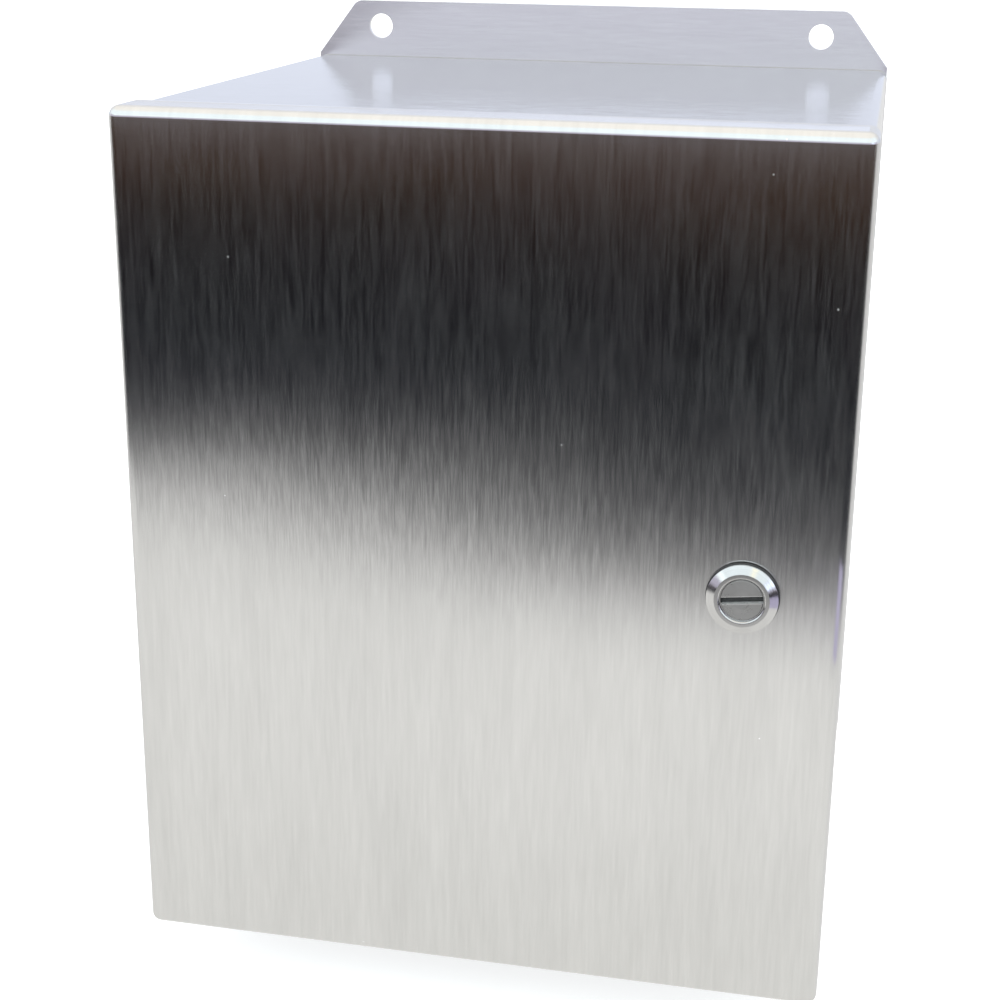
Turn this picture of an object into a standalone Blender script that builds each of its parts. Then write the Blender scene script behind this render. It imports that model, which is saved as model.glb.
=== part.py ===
"""A small wall-mount stainless steel switchboard cabinet with a hinged door.

The body is a welded box with a return lip and a forward collar round its opening, and its
back panel carries the mounting flanges. The door is a pan on a continuous hinge, closed by a
slotted quarter-turn latch. A mounting panel stands on four collar studs inside.

Units are metres. X runs to the right, Y towards the wall and Z up. The origin is the centre
of the back panel's rear face, so the wall is the plane y = 0 and the door faces -Y. The
cabinet is drawn closed and unlatched.
"""

import math

import bmesh
import bpy
from mathutils import Matrix, Vector

MM = 0.001

# Sheet metal
SHEET = 1.9 * MM
GAP = 0.3 * MM  # left between pieces that rest on each other

# Door pan
DOOR_WIDTH = 206.0 * MM
DOOR_HEIGHT = 251.8 * MM
DOOR_FRONT_Y = -192.6 * MM
SKIRT_DEPTH = 16.0 * MM
DOOR_RADIUS = 3.0 * MM

# Body
BODY_INSET = 0.9 * MM  # how far the body's sides stand inside the door's
SEAM = 1.0 * MM  # between the door's skirt and the body
BODY_RADIUS = 3.0 * MM
LIP_RADIUS = 1.5 * MM
COLLAR_INSET = 9.0 * MM  # from the body's outer side to the collar's
COLLAR_RADIUS = 4.0 * MM

# Mounting flanges, above and below the body
FLANGE_HEIGHT = 19.5 * MM
FLANGE_SHOULDER = 0.9 * MM  # full width up to here, then it tapers
FLANGE_HALF_TOP = 87.9 * MM
FLANGE_CORNER_RADIUS = 4.0 * MM
SHOULDER_RADIUS = 0.5 * MM
MOUNT_HOLE_X = 78.9 * MM
MOUNT_HOLE_RISE = 10.7 * MM
MOUNT_HOLE_RADIUS = 4.25 * MM

# Gasket
GASKET_THICKNESS = 2.9 * MM
GASKET_WIDTH = 8.0 * MM
GASKET_RADIUS = 6.0 * MM

# Continuous hinge
KNUCKLE_RADIUS = 2.5 * MM
KNUCKLE_BORE = 1.5 * MM
PIN_RADIUS = 1.2 * MM
PIN_OVERHANG = 1.0 * MM
PIN_CHAMFER = 0.3 * MM
KNUCKLE_PITCH = 16.0 * MM
KNUCKLE_COUNT = 15
KNUCKLE_SPACE = 0.4 * MM
LEAF_THICKNESS = 1.5 * MM
LEAF_SETBACK = 1.6 * MM  # from the body's front to the leaf's edge
ROOT_OVERHANG = 1.1 * MM  # how far a knuckle's root reaches outside the leaf
BODY_LEAF_WIDTH = 14.0 * MM
DOOR_LEAF_WIDTH = 9.5 * MM

# Quarter-turn latch, in distances forward of the door's face where not said otherwise
LATCH_X = 75.3 * MM
LATCH_Z = 0.0
LATCH_TILT = math.radians(6.5)  # how far the slot stands past level, towards latched
BARREL_RADIUS = 8.0 * MM
BARREL_END_Y = -176.5 * MM
BARREL_CHAMFER = 0.5 * MM
LATCH_WASHER_RADIUS = 11.8 * MM
LATCH_NUT_FLATS = 22.0 * MM
LATCH_NUT_THICKNESS = 4.0 * MM
BEZEL_RADIUS = 9.9 * MM
BEZEL_FACE_OUTER = 7.6 * MM
BEZEL_FACE_INNER = 6.5 * MM
BEZEL_BORE = 6.2 * MM
SEAL_THICKNESS = 0.7 * MM
SEAL_RADIUS = 10.15 * MM
BEZEL_SIDE = 0.8 * MM
BEZEL_RISE = 1.1 * MM
INSERT_SINK = 0.5 * MM  # the insert's face below the bezel's
INSERT_RADIUS = 5.85 * MM
INSERT_HEAD = 4.6 * MM
INSERT_CHAMFER = 0.2 * MM
SHAFT_RADIUS = 3.9 * MM
SHAFT_BORE = 4.2 * MM
SQUARE_SIDE = 5.8 * MM
SLOT_WIDTH = 2.0 * MM
SLOT_DEPTH = 2.2 * MM
SCREW_BORE = 2.3 * MM  # up the insert for the cam's screw
SCREW_BORE_DEPTH = 9.0 * MM
O_RING_WIRE = 0.6 * MM
CAM_THICKNESS = 2.5 * MM
CAM_CLEARANCE = 0.5 * MM  # between the cam and the back of the lip
CAM_LENGTH = 22.5 * MM
CAM_HUB_RADIUS = 8.0 * MM
CAM_HUB_CORNER = 7.9 * MM  # all but the half circle, so that the flat between still exists
CAM_WAIST_Z = -3.0 * MM
CAM_WAIST_RADIUS = 2.0 * MM
CAM_NECK_RADIUS = 4.0 * MM
CAM_TIP_RADIUS = 3.0 * MM
CAM_HALF_WIDTH = 6.5 * MM
CAM_WASHER_BORE = 2.4 * MM
CAM_WASHER_RADIUS = 5.5 * MM
SCREW_HEAD_RADIUS = 4.5 * MM
SCREW_HEAD_HEIGHT = 3.0 * MM
SCREW_HEAD_CHAMFER = 0.4 * MM
SCREW_RECESS_RADIUS = 2.3 * MM
SCREW_RECESS_DEPTH = 1.5 * MM
SCREW_RADIUS = 2.0 * MM
SCREW_LENGTH = 8.0 * MM

# Mounting panel and its collar studs
PANEL_WIDTH = 172.0 * MM
PANEL_HEIGHT = 216.0 * MM
PANEL_THICKNESS = 2.0 * MM
PANEL_RADIUS = 5.0 * MM
STUD_X = 78.0 * MM
STUD_Z = 100.0 * MM
COLLAR_STUD_RADIUS = 5.0 * MM
COLLAR_STUD_LENGTH = 9.7 * MM
STUD_RADIUS = 3.0 * MM
STUD_LENGTH = 22.0 * MM
STUD_CHAMFER = 0.6 * MM
PANEL_WASHER_RADIUS = 7.0 * MM
PANEL_NUT_FLATS = 10.0 * MM
PANEL_NUT_THICKNESS = 5.0 * MM

# Bonding studs
BOND_STUD_RADIUS = 2.5 * MM
BOND_STUD_LENGTH = 15.0 * MM
BOND_STUD_CHAMFER = 0.5 * MM
BOND_WASHER_HEIGHT = 4.0 * MM  # from the stud's foot
BOND_WASHER_RADIUS = 5.0 * MM
BOND_NUT_FLATS = 8.0 * MM
BOND_NUT_THICKNESS = 4.0 * MM
BODY_BOND_X = -93.1 * MM
BODY_BOND_Z = -95.0 * MM
DOOR_BOND_X = -70.0 * MM
DOOR_BOND_Z = -95.0 * MM

# Shared by the nuts and washers
WASHER_THICKNESS = 1.0 * MM
NUT_CHAMFER = 0.35 * MM

# Places worked out from the sizes above
HALF_DOOR_X = DOOR_WIDTH / 2
HALF_DOOR_Z = DOOR_HEIGHT / 2
HALF_BODY_X = HALF_DOOR_X - BODY_INSET
HALF_BODY_Z = HALF_DOOR_Z - BODY_INSET
BACK_FRONT_Y = -SHEET
BODY_REAR_Y = BACK_FRONT_Y - GAP
DOOR_INNER_Y = DOOR_FRONT_Y + SHEET
SKIRT_REAR_Y = DOOR_FRONT_Y + SKIRT_DEPTH
BODY_FRONT_Y = SKIRT_REAR_Y + SEAM
LIP_REAR_Y = BODY_FRONT_Y + SHEET
GASKET_FRONT_Y = DOOR_INNER_Y + GAP
GASKET_REAR_Y = GASKET_FRONT_Y + GASKET_THICKNESS
COLLAR_FRONT_Y = GASKET_REAR_Y + GAP
HINGE_X = -(HALF_DOOR_X + GAP + KNUCKLE_RADIUS)
HINGE_Y = (SKIRT_REAR_Y + BODY_FRONT_Y) / 2
HINGE_LENGTH = KNUCKLE_PITCH * KNUCKLE_COUNT
SEAL_FRONT_Y = DOOR_FRONT_Y - GAP - SEAL_THICKNESS
BEZEL_REAR_Y = SEAL_FRONT_Y - GAP
BEZEL_FRONT_Y = BEZEL_REAR_Y - BEZEL_SIDE - BEZEL_RISE
INSERT_FRONT_Y = BEZEL_FRONT_Y + INSERT_SINK
HEAD_REAR_Y = INSERT_FRONT_Y + INSERT_HEAD
CAM_FRONT_Y = LIP_REAR_Y + CAM_CLEARANCE
CAM_REAR_Y = CAM_FRONT_Y + CAM_THICKNESS
FORWARD = Vector((0, -1, 0))
BACKWARD = Vector((0, 1, 0))

# The materials' base colour, metallic and roughness values
FINISHES = {
    "brushed_stainless": ((0.62, 0.61, 0.60), 1.0, 0.30),
    "turned_stainless": ((0.70, 0.69, 0.68), 1.0, 0.18),
    "zinc_plate": ((0.66, 0.67, 0.68), 1.0, 0.35),
    "white_enamel": ((0.83, 0.83, 0.80), 0.0, 0.40),
    "black_rubber": ((0.03, 0.03, 0.03), 0.0, 0.75),
}

PARTS = "switchboard_cabinet"
CUTTERS = "cutters"


# Scene helpers


def clear_scene():
    for obj in list(bpy.data.objects):
        bpy.data.objects.remove(obj)


def make_collection(name):
    collection = bpy.data.collections.new(name)
    bpy.context.scene.collection.children.link(collection)
    return collection


def make_material(name, finish):
    colour, metallic, roughness = FINISHES[finish]
    material = bpy.data.materials.new(name)
    material.use_nodes = True
    shader = material.node_tree.nodes["Principled BSDF"]
    shader.inputs["Base Color"].default_value = (*colour, 1)
    shader.inputs["Metallic"].default_value = metallic
    shader.inputs["Roughness"].default_value = roughness
    material.diffuse_color = (*colour, 1)
    return material


def make_object(name, data, finish=None):
    """A part with its own material, or a cutter where no finish is given."""
    obj = bpy.data.objects.new(name, data)
    if finish is None:
        obj.hide_render = True
        obj.display_type = "WIRE"
        bpy.data.collections[CUTTERS].objects.link(obj)
        return obj
    data.materials.append(make_material(name + "_finish", finish))
    bpy.data.collections[PARTS].objects.link(obj)
    return obj


def mesh_object(name, bm, finish=None, smooth_angle=35):
    mesh = bpy.data.meshes.new(name)
    bm.to_mesh(mesh)
    bm.free()
    mesh.shade_smooth()
    mesh.set_sharp_from_angle(angle=math.radians(smooth_angle))
    return make_object(name, mesh, finish)


def boolean(target, other, operation):
    modifier = target.modifiers.new(other.name, "BOOLEAN")
    modifier.operation = operation
    modifier.object = other


def cut(target, other):
    boolean(target, other, "DIFFERENCE")


def join(target, other):
    boolean(target, other, "UNION")


def attach(obj, empty):
    obj.parent = empty
    obj.matrix_parent_inverse = empty.matrix_world.inverted()


def make_pivot(name, location):
    """An empty on a joint's axis."""
    pivot = bpy.data.objects.new(name, None)
    pivot.location = location
    pivot.empty_display_size = 10 * MM
    bpy.data.collections[PARTS].objects.link(pivot)
    bpy.context.view_layer.update()
    return pivot


# Shape helpers


def add_box(bm, low, high):
    """Adds a box between two corners to bm."""
    size = Vector(high) - Vector(low)
    centre = (Vector(high) + Vector(low)) / 2
    place = Matrix.Translation(centre) @ Matrix.Diagonal((*size, 1))
    bmesh.ops.create_cube(bm, size=1, matrix=place)


def box(low, high):
    """A bmesh box between two corners."""
    bm = bmesh.new()
    add_box(bm, low, high)
    return bm


def depth_edges(bm):
    """The edges that run along Y."""
    return [e for e in bm.edges if abs(e.verts[0].co.y - e.verts[1].co.y) > GAP]


def front_edges(bm):
    """The edges that lie in the front face."""
    front = min(v.co.y for v in bm.verts)
    return [e for e in bm.edges if all(v.co.y < front + GAP for v in e.verts)]


def round_edges(bm, edges, radius, segments):
    bmesh.ops.bevel(
        bm,
        geom=edges,
        offset=radius,
        segments=segments,
        profile=0.5,
        affect="EDGES",
        clamp_overlap=True,
    )


def prism(half_x, half_z, y_front, y_rear, radius, segments=4):
    """A box through the depth with its four long edges rounded."""
    bm = box((-half_x, y_front, -half_z), (half_x, y_rear, half_z))
    round_edges(bm, depth_edges(bm), radius, segments)
    return bm


def cylinder(centre, axis, radius, length, segments, bm=None):
    """A closed cylinder, added to bm where one is given."""
    bm = bm or bmesh.new()
    turn = Vector(axis).to_track_quat("Z", "Y").to_matrix().to_4x4()
    bmesh.ops.create_cone(
        bm,
        cap_ends=True,
        segments=segments,
        radius1=radius,
        radius2=radius,
        depth=length,
        matrix=Matrix.Translation(centre) @ turn,
    )
    return bm


def turned(name, profile, base, axis, finish, steps=24, ring=False):
    """A turned piece on the axis through base. The profile is (radius, distance along the
    axis) pairs, from the far end down the outer side, and a ring's closes on itself."""
    bm = bmesh.new()
    points = [bm.verts.new((radius, 0, height)) for radius, height in profile]
    for first, second in zip(points, points[1:]):
        bm.edges.new((first, second))
    if ring:
        bm.edges.new((points[-1], points[0]))
    mesh = bpy.data.meshes.new(name)
    bm.to_mesh(mesh)
    bm.free()
    obj = make_object(name, mesh, finish)
    obj.location = base
    obj.rotation_euler = Vector(axis).to_track_quat("Z", "Y").to_euler()
    screw = obj.modifiers.new("Turn", "SCREW")
    screw.axis = "Z"
    screw.steps = steps
    screw.render_steps = steps
    screw.use_merge_vertices = True
    screw.merge_threshold = 0.01 * MM
    screw.use_smooth_shade = False
    return obj


def washer(name, centre, axis, inner, outer, thickness, finish, steps=24):
    """A flat ring whose near face is centred on the given point."""
    profile = [(outer, thickness), (outer, 0), (inner, 0), (inner, thickness)]
    return turned(name, profile, centre, axis, finish, steps, ring=True)


def hex_nut(name, centre, axis, across_flats, thickness, bore, finish):
    """A hexagon nut whose near face is centred on the given point."""
    axis = Vector(axis)
    middle = Vector(centre) + axis * thickness / 2
    bm = cylinder(middle, axis, across_flats / math.sqrt(3), thickness, 6)
    rims = [e for e in bm.edges if abs((e.verts[0].co - e.verts[1].co).dot(axis)) < GAP]
    round_edges(bm, rims, NUT_CHAMFER, 1)
    nut = mesh_object(name, bm, finish)
    cut(nut, mesh_object(name + "_bore", cylinder(middle, axis, bore, 2 * thickness, 20)))
    return nut


def rounded_outline(corners, steps=5):
    """Outline points for (x, y, radius) corners, with an arc of that radius at each."""
    outline = []
    for index, (x, y, radius) in enumerate(corners):
        here = Vector((x, y))
        before = (Vector(corners[index - 1][:2]) - here).normalized()
        after = (Vector(corners[(index + 1) % len(corners)][:2]) - here).normalized()
        half = before.angle(after) / 2
        centre = here + (before + after).normalized() * radius / math.sin(half)
        arm = here + before * radius / math.tan(half) - centre
        turn = math.copysign(math.pi - 2 * half, after.cross(before))
        for step in range(steps + 1):
            outline.append(centre + Matrix.Rotation(turn * step / steps, 2) @ arm)
    return outline


def flat_plate(name, corners, y_front, thickness, finish, centre=(0, 0), tilt=0.0):
    """A plate parallel to the wall, from an outline of (x, z, radius) corners that is
    turned by tilt about the centre, anticlockwise as seen from the front."""
    outline = rounded_outline(corners)
    curve = bpy.data.curves.new(name + "_outline", "CURVE")
    curve.dimensions = "2D"
    curve.fill_mode = "BOTH"
    curve.extrude = thickness / 2
    spline = curve.splines.new("POLY")
    spline.points.add(len(outline) - 1)
    for point, place in zip(spline.points, outline):
        point.co = (*place, 0, 1)
    spline.use_cyclic_u = True
    guide = make_object(name + "_outline", curve)
    upright = Matrix.Rotation(math.radians(90), 4, "X")
    spin = Matrix.Rotation(-tilt, 4, "Y")
    middle = Vector((centre[0], y_front + thickness / 2, centre[1]))
    guide.matrix_world = Matrix.Translation(middle) @ spin @ upright
    bpy.context.view_layer.update()
    evaluated = guide.evaluated_get(bpy.context.evaluated_depsgraph_get())
    mesh = bpy.data.meshes.new_from_object(evaluated)
    bm = bmesh.new()
    bm.from_mesh(mesh)
    bpy.data.meshes.remove(mesh)
    bmesh.ops.remove_doubles(bm, verts=bm.verts, dist=0.01 * MM)
    plate = mesh_object(name, bm, finish)
    plate.matrix_world = guide.matrix_world
    bpy.data.objects.remove(guide)
    return plate


# Body


def make_body_shell():
    """The four walls, the return lip and the collar, folded and welded as one piece."""
    bm = prism(HALF_BODY_X, HALF_BODY_Z, BODY_FRONT_Y, BODY_REAR_Y, BODY_RADIUS)
    round_edges(bm, front_edges(bm), LIP_RADIUS, 3)
    shell = mesh_object("body_shell", bm, "brushed_stainless")
    cavity = prism(
        HALF_BODY_X - SHEET,
        HALF_BODY_Z - SHEET,
        LIP_REAR_Y,
        SHEET,
        BODY_RADIUS - SHEET,
        3,
    )
    cut(shell, mesh_object("body_cavity", cavity))
    collar = prism(
        HALF_BODY_X - COLLAR_INSET,
        HALF_BODY_Z - COLLAR_INSET,
        COLLAR_FRONT_Y,
        BODY_FRONT_Y + SHEET / 2,
        COLLAR_RADIUS,
    )
    join(shell, mesh_object("collar_block", collar))
    opening = prism(
        HALF_BODY_X - COLLAR_INSET - SHEET,
        HALF_BODY_Z - COLLAR_INSET - SHEET,
        COLLAR_FRONT_Y - SHEET,
        LIP_REAR_Y + SHEET,
        COLLAR_RADIUS - SHEET,
        4,
    )
    cut(shell, mesh_object("body_opening", opening))
    return shell


def make_back_panel():
    """The back sheet, which runs on above and below the body as the mounting flanges."""
    shoulder = HALF_BODY_Z + FLANGE_SHOULDER
    top = HALF_BODY_Z + FLANGE_HEIGHT
    corners = [
        (HALF_BODY_X, shoulder, SHOULDER_RADIUS),
        (FLANGE_HALF_TOP, top, FLANGE_CORNER_RADIUS),
        (-FLANGE_HALF_TOP, top, FLANGE_CORNER_RADIUS),
        (-HALF_BODY_X, shoulder, SHOULDER_RADIUS),
        (-HALF_BODY_X, -shoulder, SHOULDER_RADIUS),
        (-FLANGE_HALF_TOP, -top, FLANGE_CORNER_RADIUS),
        (FLANGE_HALF_TOP, -top, FLANGE_CORNER_RADIUS),
        (HALF_BODY_X, -shoulder, SHOULDER_RADIUS),
    ]
    panel = flat_plate("back_panel", corners, BACK_FRONT_Y, SHEET, "brushed_stainless")
    bm = bmesh.new()
    for x in (-MOUNT_HOLE_X, MOUNT_HOLE_X):
        for side in (-1, 1):
            centre = (x, -SHEET / 2, side * (HALF_BODY_Z + MOUNT_HOLE_RISE))
            cylinder(centre, BACKWARD, MOUNT_HOLE_RADIUS, 3 * SHEET, 32, bm)
    cut(panel, mesh_object("mount_holes", bm))
    return panel


# Continuous hinge


def knuckle_span(index):
    """The lowest and highest z of a knuckle."""
    low = index * KNUCKLE_PITCH - HINGE_LENGTH / 2
    return low + KNUCKLE_SPACE / 2, low + KNUCKLE_PITCH - KNUCKLE_SPACE / 2


def knuckles(indices):
    bm = bmesh.new()
    for index in indices:
        low, high = knuckle_span(index)
        centre = (HINGE_X, HINGE_Y, (low + high) / 2)
        cylinder(centre, (0, 0, 1), KNUCKLE_RADIUS, high - low, 20, bm)
    return bm


def finish_leaf(leaf, indices):
    """Joins a leaf's knuckles to it and bores them for the pin."""
    join(leaf, mesh_object(leaf.name + "_knuckles", knuckles(indices)))
    bore = cylinder((HINGE_X, HINGE_Y, 0), (0, 0, 1), KNUCKLE_BORE, 2 * HINGE_LENGTH, 16)
    cut(leaf, mesh_object(leaf.name + "_bore", bore))
    return leaf


def make_body_hinge_leaf():
    """The leaf on the body's left wall, with the even knuckles."""
    inner_x = -HALF_BODY_X - GAP
    outer_x = inner_x - LEAF_THICKNESS
    near_y = BODY_FRONT_Y + LEAF_SETBACK
    half = HINGE_LENGTH / 2 - KNUCKLE_SPACE / 2
    bm = box((outer_x, near_y, -half), (inner_x, near_y + BODY_LEAF_WIDTH, half))
    leaf = mesh_object("body_hinge_leaf", bm, "brushed_stainless")
    even = range(0, KNUCKLE_COUNT, 2)
    roots = bmesh.new()
    for index in even:
        low, high = knuckle_span(index)
        near_corner = (outer_x - ROOT_OVERHANG, BODY_FRONT_Y + GAP, low)
        add_box(roots, near_corner, (inner_x, near_y + LEAF_THICKNESS, high))
    join(leaf, mesh_object("body_leaf_roots", roots))
    return finish_leaf(leaf, even)


def make_door_hinge_leaf():
    """The leaf on the door's left skirt, with the odd knuckles."""
    inner_x = -HALF_DOOR_X - GAP
    outer_x = inner_x - LEAF_THICKNESS
    half = HINGE_LENGTH / 2 - KNUCKLE_SPACE / 2
    bm = box((outer_x, HINGE_Y - DOOR_LEAF_WIDTH, -half), (inner_x, HINGE_Y, half))
    leaf = mesh_object("door_hinge_leaf", bm, "brushed_stainless")
    notches = bmesh.new()
    for index in range(0, KNUCKLE_COUNT, 2):
        low, high = knuckle_span(index)
        near_corner = (outer_x - MM, HINGE_Y - KNUCKLE_RADIUS - GAP, low - KNUCKLE_SPACE)
        add_box(notches, near_corner, (inner_x + MM, HINGE_Y + MM, high + KNUCKLE_SPACE))
    cut(leaf, mesh_object("door_leaf_notches", notches))
    return finish_leaf(leaf, range(1, KNUCKLE_COUNT, 2))


def make_hinge_pin():
    half = HINGE_LENGTH / 2 + PIN_OVERHANG
    profile = [
        (0, 2 * half),
        (PIN_RADIUS - PIN_CHAMFER, 2 * half),
        (PIN_RADIUS, 2 * half - PIN_CHAMFER),
        (PIN_RADIUS, PIN_CHAMFER),
        (PIN_RADIUS - PIN_CHAMFER, 0),
        (0, 0),
    ]
    base = (HINGE_X, HINGE_Y, -half)
    return turned("hinge_pin", profile, base, (0, 0, 1), "turned_stainless", 16)


# Door


def make_door_shell():
    """A pan pressed from one sheet, open at the back."""
    bm = box(
        (-HALF_DOOR_X, DOOR_FRONT_Y, -HALF_DOOR_Z),
        (HALF_DOOR_X, SKIRT_REAR_Y, HALF_DOOR_Z),
    )
    edges = set(depth_edges(bm)) | set(front_edges(bm))
    round_edges(bm, sorted(edges, key=lambda e: e.index), DOOR_RADIUS, 6)
    rear = [f for f in bm.faces if f.normal.y > 0.99]
    bmesh.ops.delete(bm, geom=rear, context="FACES")
    shell = mesh_object("door_shell", bm, "brushed_stainless")
    solidify = shell.modifiers.new("Sheet", "SOLIDIFY")
    solidify.thickness = SHEET
    solidify.offset = -1
    solidify.use_even_offset = True
    centre = (LATCH_X, DOOR_FRONT_Y, LATCH_Z)
    hole = cylinder(centre, BACKWARD, BARREL_RADIUS + GAP, 4 * SHEET, 40)
    cut(shell, mesh_object("latch_hole", hole))
    return shell


def make_door_gasket():
    """A closed ring of rubber that meets the front edge of the body's collar."""
    half_x = HALF_BODY_X - COLLAR_INSET - SHEET / 2 + GASKET_WIDTH / 2
    half_z = HALF_BODY_Z - COLLAR_INSET - SHEET / 2 + GASKET_WIDTH / 2
    ring = prism(half_x, half_z, GASKET_FRONT_Y, GASKET_REAR_Y, GASKET_RADIUS, 6)
    gasket = mesh_object("door_gasket", ring, "black_rubber")
    middle = prism(
        half_x - GASKET_WIDTH,
        half_z - GASKET_WIDTH,
        GASKET_FRONT_Y - MM,
        GASKET_REAR_Y + MM,
        GASKET_RADIUS / 2,
        6,
    )
    cut(gasket, mesh_object("gasket_middle", middle))
    return gasket


# Latch parts fixed to the door


def latch_point(y):
    return Vector((LATCH_X, y, LATCH_Z))


def make_latch_housing():
    """The bezel and the threaded barrel behind it, bored for the insert."""
    shoulder_y = HEAD_REAR_Y + 2 * GAP + 2 * O_RING_WIRE
    face = BARREL_END_Y - BEZEL_FRONT_Y
    flange_rear = BARREL_END_Y - BEZEL_REAR_Y
    shoulder = BARREL_END_Y - shoulder_y
    break_edge = BEZEL_FACE_INNER - BEZEL_BORE
    profile = [
        (BEZEL_FACE_INNER, face),
        (BEZEL_FACE_OUTER, face),
        (BEZEL_RADIUS, face - BEZEL_RISE),
        (BEZEL_RADIUS, flange_rear),
        (BARREL_RADIUS, flange_rear),
        (BARREL_RADIUS, BARREL_CHAMFER),
        (BARREL_RADIUS - BARREL_CHAMFER, 0),
        (SHAFT_BORE, 0),
        (SHAFT_BORE, shoulder),
        (BEZEL_BORE, shoulder),
        (BEZEL_BORE, face - break_edge),
    ]
    return turned(
        "latch_housing",
        profile,
        latch_point(BARREL_END_Y),
        FORWARD,
        "turned_stainless",
        48,
        ring=True,
    )


def make_latch_fixings():
    """The seal under the bezel, and the washer and nut behind the door."""
    clear = BARREL_RADIUS + GAP
    washer_y = DOOR_INNER_Y + GAP
    nut_y = washer_y + WASHER_THICKNESS + GAP
    return [
        washer(
            "latch_seal",
            latch_point(DOOR_FRONT_Y - GAP),
            FORWARD,
            clear,
            SEAL_RADIUS,
            SEAL_THICKNESS,
            "black_rubber",
            48,
        ),
        washer(
            "latch_washer",
            latch_point(washer_y),
            BACKWARD,
            clear,
            LATCH_WASHER_RADIUS,
            WASHER_THICKNESS,
            "zinc_plate",
        ),
        hex_nut(
            "latch_nut",
            latch_point(nut_y),
            BACKWARD,
            LATCH_NUT_FLATS,
            LATCH_NUT_THICKNESS,
            clear,
            "zinc_plate",
        ),
    ]


# Latch parts that turn


def tilted_box(y_front, y_rear, half_length, half_width):
    """A box on the latch's axis, long in the direction of the slot."""
    bm = box((-half_length, y_front, -half_width), (half_length, y_rear, half_width))
    turn = Matrix.Rotation(-LATCH_TILT, 4, "Y")
    bm.transform(Matrix.Translation((LATCH_X, 0, LATCH_Z)) @ turn)
    return bm


def make_latch_insert():
    """The slotted head, its shaft, and the square that drives the cam."""
    shaft_end_y = CAM_FRONT_Y - GAP
    tip_y = CAM_REAR_Y - GAP
    front = shaft_end_y - INSERT_FRONT_Y
    head_rear = shaft_end_y - HEAD_REAR_Y
    profile = [
        (0, front),
        (INSERT_RADIUS - INSERT_CHAMFER, front),
        (INSERT_RADIUS, front - INSERT_CHAMFER),
        (INSERT_RADIUS, head_rear),
        (SHAFT_RADIUS, head_rear),
        (SHAFT_RADIUS, 0),
        (0, 0),
    ]
    insert = turned(
        "latch_insert",
        profile,
        latch_point(shaft_end_y),
        FORWARD,
        "turned_stainless",
        40,
    )
    half_square = SQUARE_SIDE / 2
    square = tilted_box(shaft_end_y - 2 * MM, tip_y, half_square, half_square)
    join(insert, mesh_object("insert_square", square))
    slot = tilted_box(
        INSERT_FRONT_Y - 2 * MM,
        INSERT_FRONT_Y + SLOT_DEPTH,
        2 * INSERT_RADIUS,
        SLOT_WIDTH / 2,
    )
    cut(insert, mesh_object("insert_slot", slot))
    bore = cylinder(latch_point(tip_y), BACKWARD, SCREW_BORE, 2 * SCREW_BORE_DEPTH, 16)
    cut(insert, mesh_object("insert_bore", bore))
    return insert


def make_latch_o_ring():
    """The ring that seals the shaft, between the insert's head and the housing."""
    middle = (SHAFT_BORE + BEZEL_BORE) / 2
    sides = 10
    profile = []
    for side in range(sides):
        angle = -2 * math.pi * side / sides
        profile.append((middle + O_RING_WIRE * math.cos(angle), O_RING_WIRE * math.sin(angle)))
    centre = latch_point(HEAD_REAR_Y + GAP + O_RING_WIRE)
    return turned("latch_o_ring", profile, centre, FORWARD, "black_rubber", 32, ring=True)


def make_latch_cam():
    """The flat arm that swings behind the body's lip. It hangs down when unlatched."""
    hub = CAM_HUB_RADIUS
    corners = [
        (hub, hub, CAM_HUB_CORNER),
        (-hub, hub, CAM_HUB_CORNER),
        (-hub, CAM_WAIST_Z, CAM_WAIST_RADIUS),
        (-CAM_HALF_WIDTH, -hub, CAM_NECK_RADIUS),
        (-CAM_HALF_WIDTH, -CAM_LENGTH, CAM_TIP_RADIUS),
        (CAM_HALF_WIDTH, -CAM_LENGTH, CAM_TIP_RADIUS),
        (CAM_HALF_WIDTH, -hub, CAM_NECK_RADIUS),
        (hub, CAM_WAIST_Z, CAM_WAIST_RADIUS),
    ]
    cam = flat_plate(
        "latch_cam",
        corners,
        CAM_FRONT_Y,
        CAM_THICKNESS,
        "zinc_plate",
        (LATCH_X, LATCH_Z),
        LATCH_TILT,
    )
    half_hole = SQUARE_SIDE / 2 + GAP
    hole = tilted_box(CAM_FRONT_Y - MM, CAM_REAR_Y + MM, half_hole, half_hole)
    cut(cam, mesh_object("cam_hole", hole))
    return cam


def make_cam_fixings():
    """The washer and the screw that hold the cam on the insert's square."""
    washer_y = CAM_REAR_Y + GAP
    head_y = washer_y + WASHER_THICKNESS + GAP
    length = SCREW_LENGTH + SCREW_HEAD_HEIGHT
    profile = [
        (0, length),
        (SCREW_HEAD_RADIUS - SCREW_HEAD_CHAMFER, length),
        (SCREW_HEAD_RADIUS, length - SCREW_HEAD_CHAMFER),
        (SCREW_HEAD_RADIUS, SCREW_LENGTH),
        (SCREW_RADIUS, SCREW_LENGTH),
        (SCREW_RADIUS, 0),
        (0, 0),
    ]
    base = latch_point(head_y - SCREW_LENGTH)
    screw = turned("cam_screw", profile, base, BACKWARD, "zinc_plate", 20)
    recess = cylinder(
        latch_point(head_y + SCREW_HEAD_HEIGHT),
        BACKWARD,
        SCREW_RECESS_RADIUS,
        2 * SCREW_RECESS_DEPTH,
        6,
    )
    cut(screw, mesh_object("cam_screw_recess", recess))
    ring = washer(
        "cam_washer",
        latch_point(washer_y),
        BACKWARD,
        CAM_WASHER_BORE,
        CAM_WASHER_RADIUS,
        WASHER_THICKNESS,
        "zinc_plate",
        20,
    )
    return [ring, screw]


# Mounting panel


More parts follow.
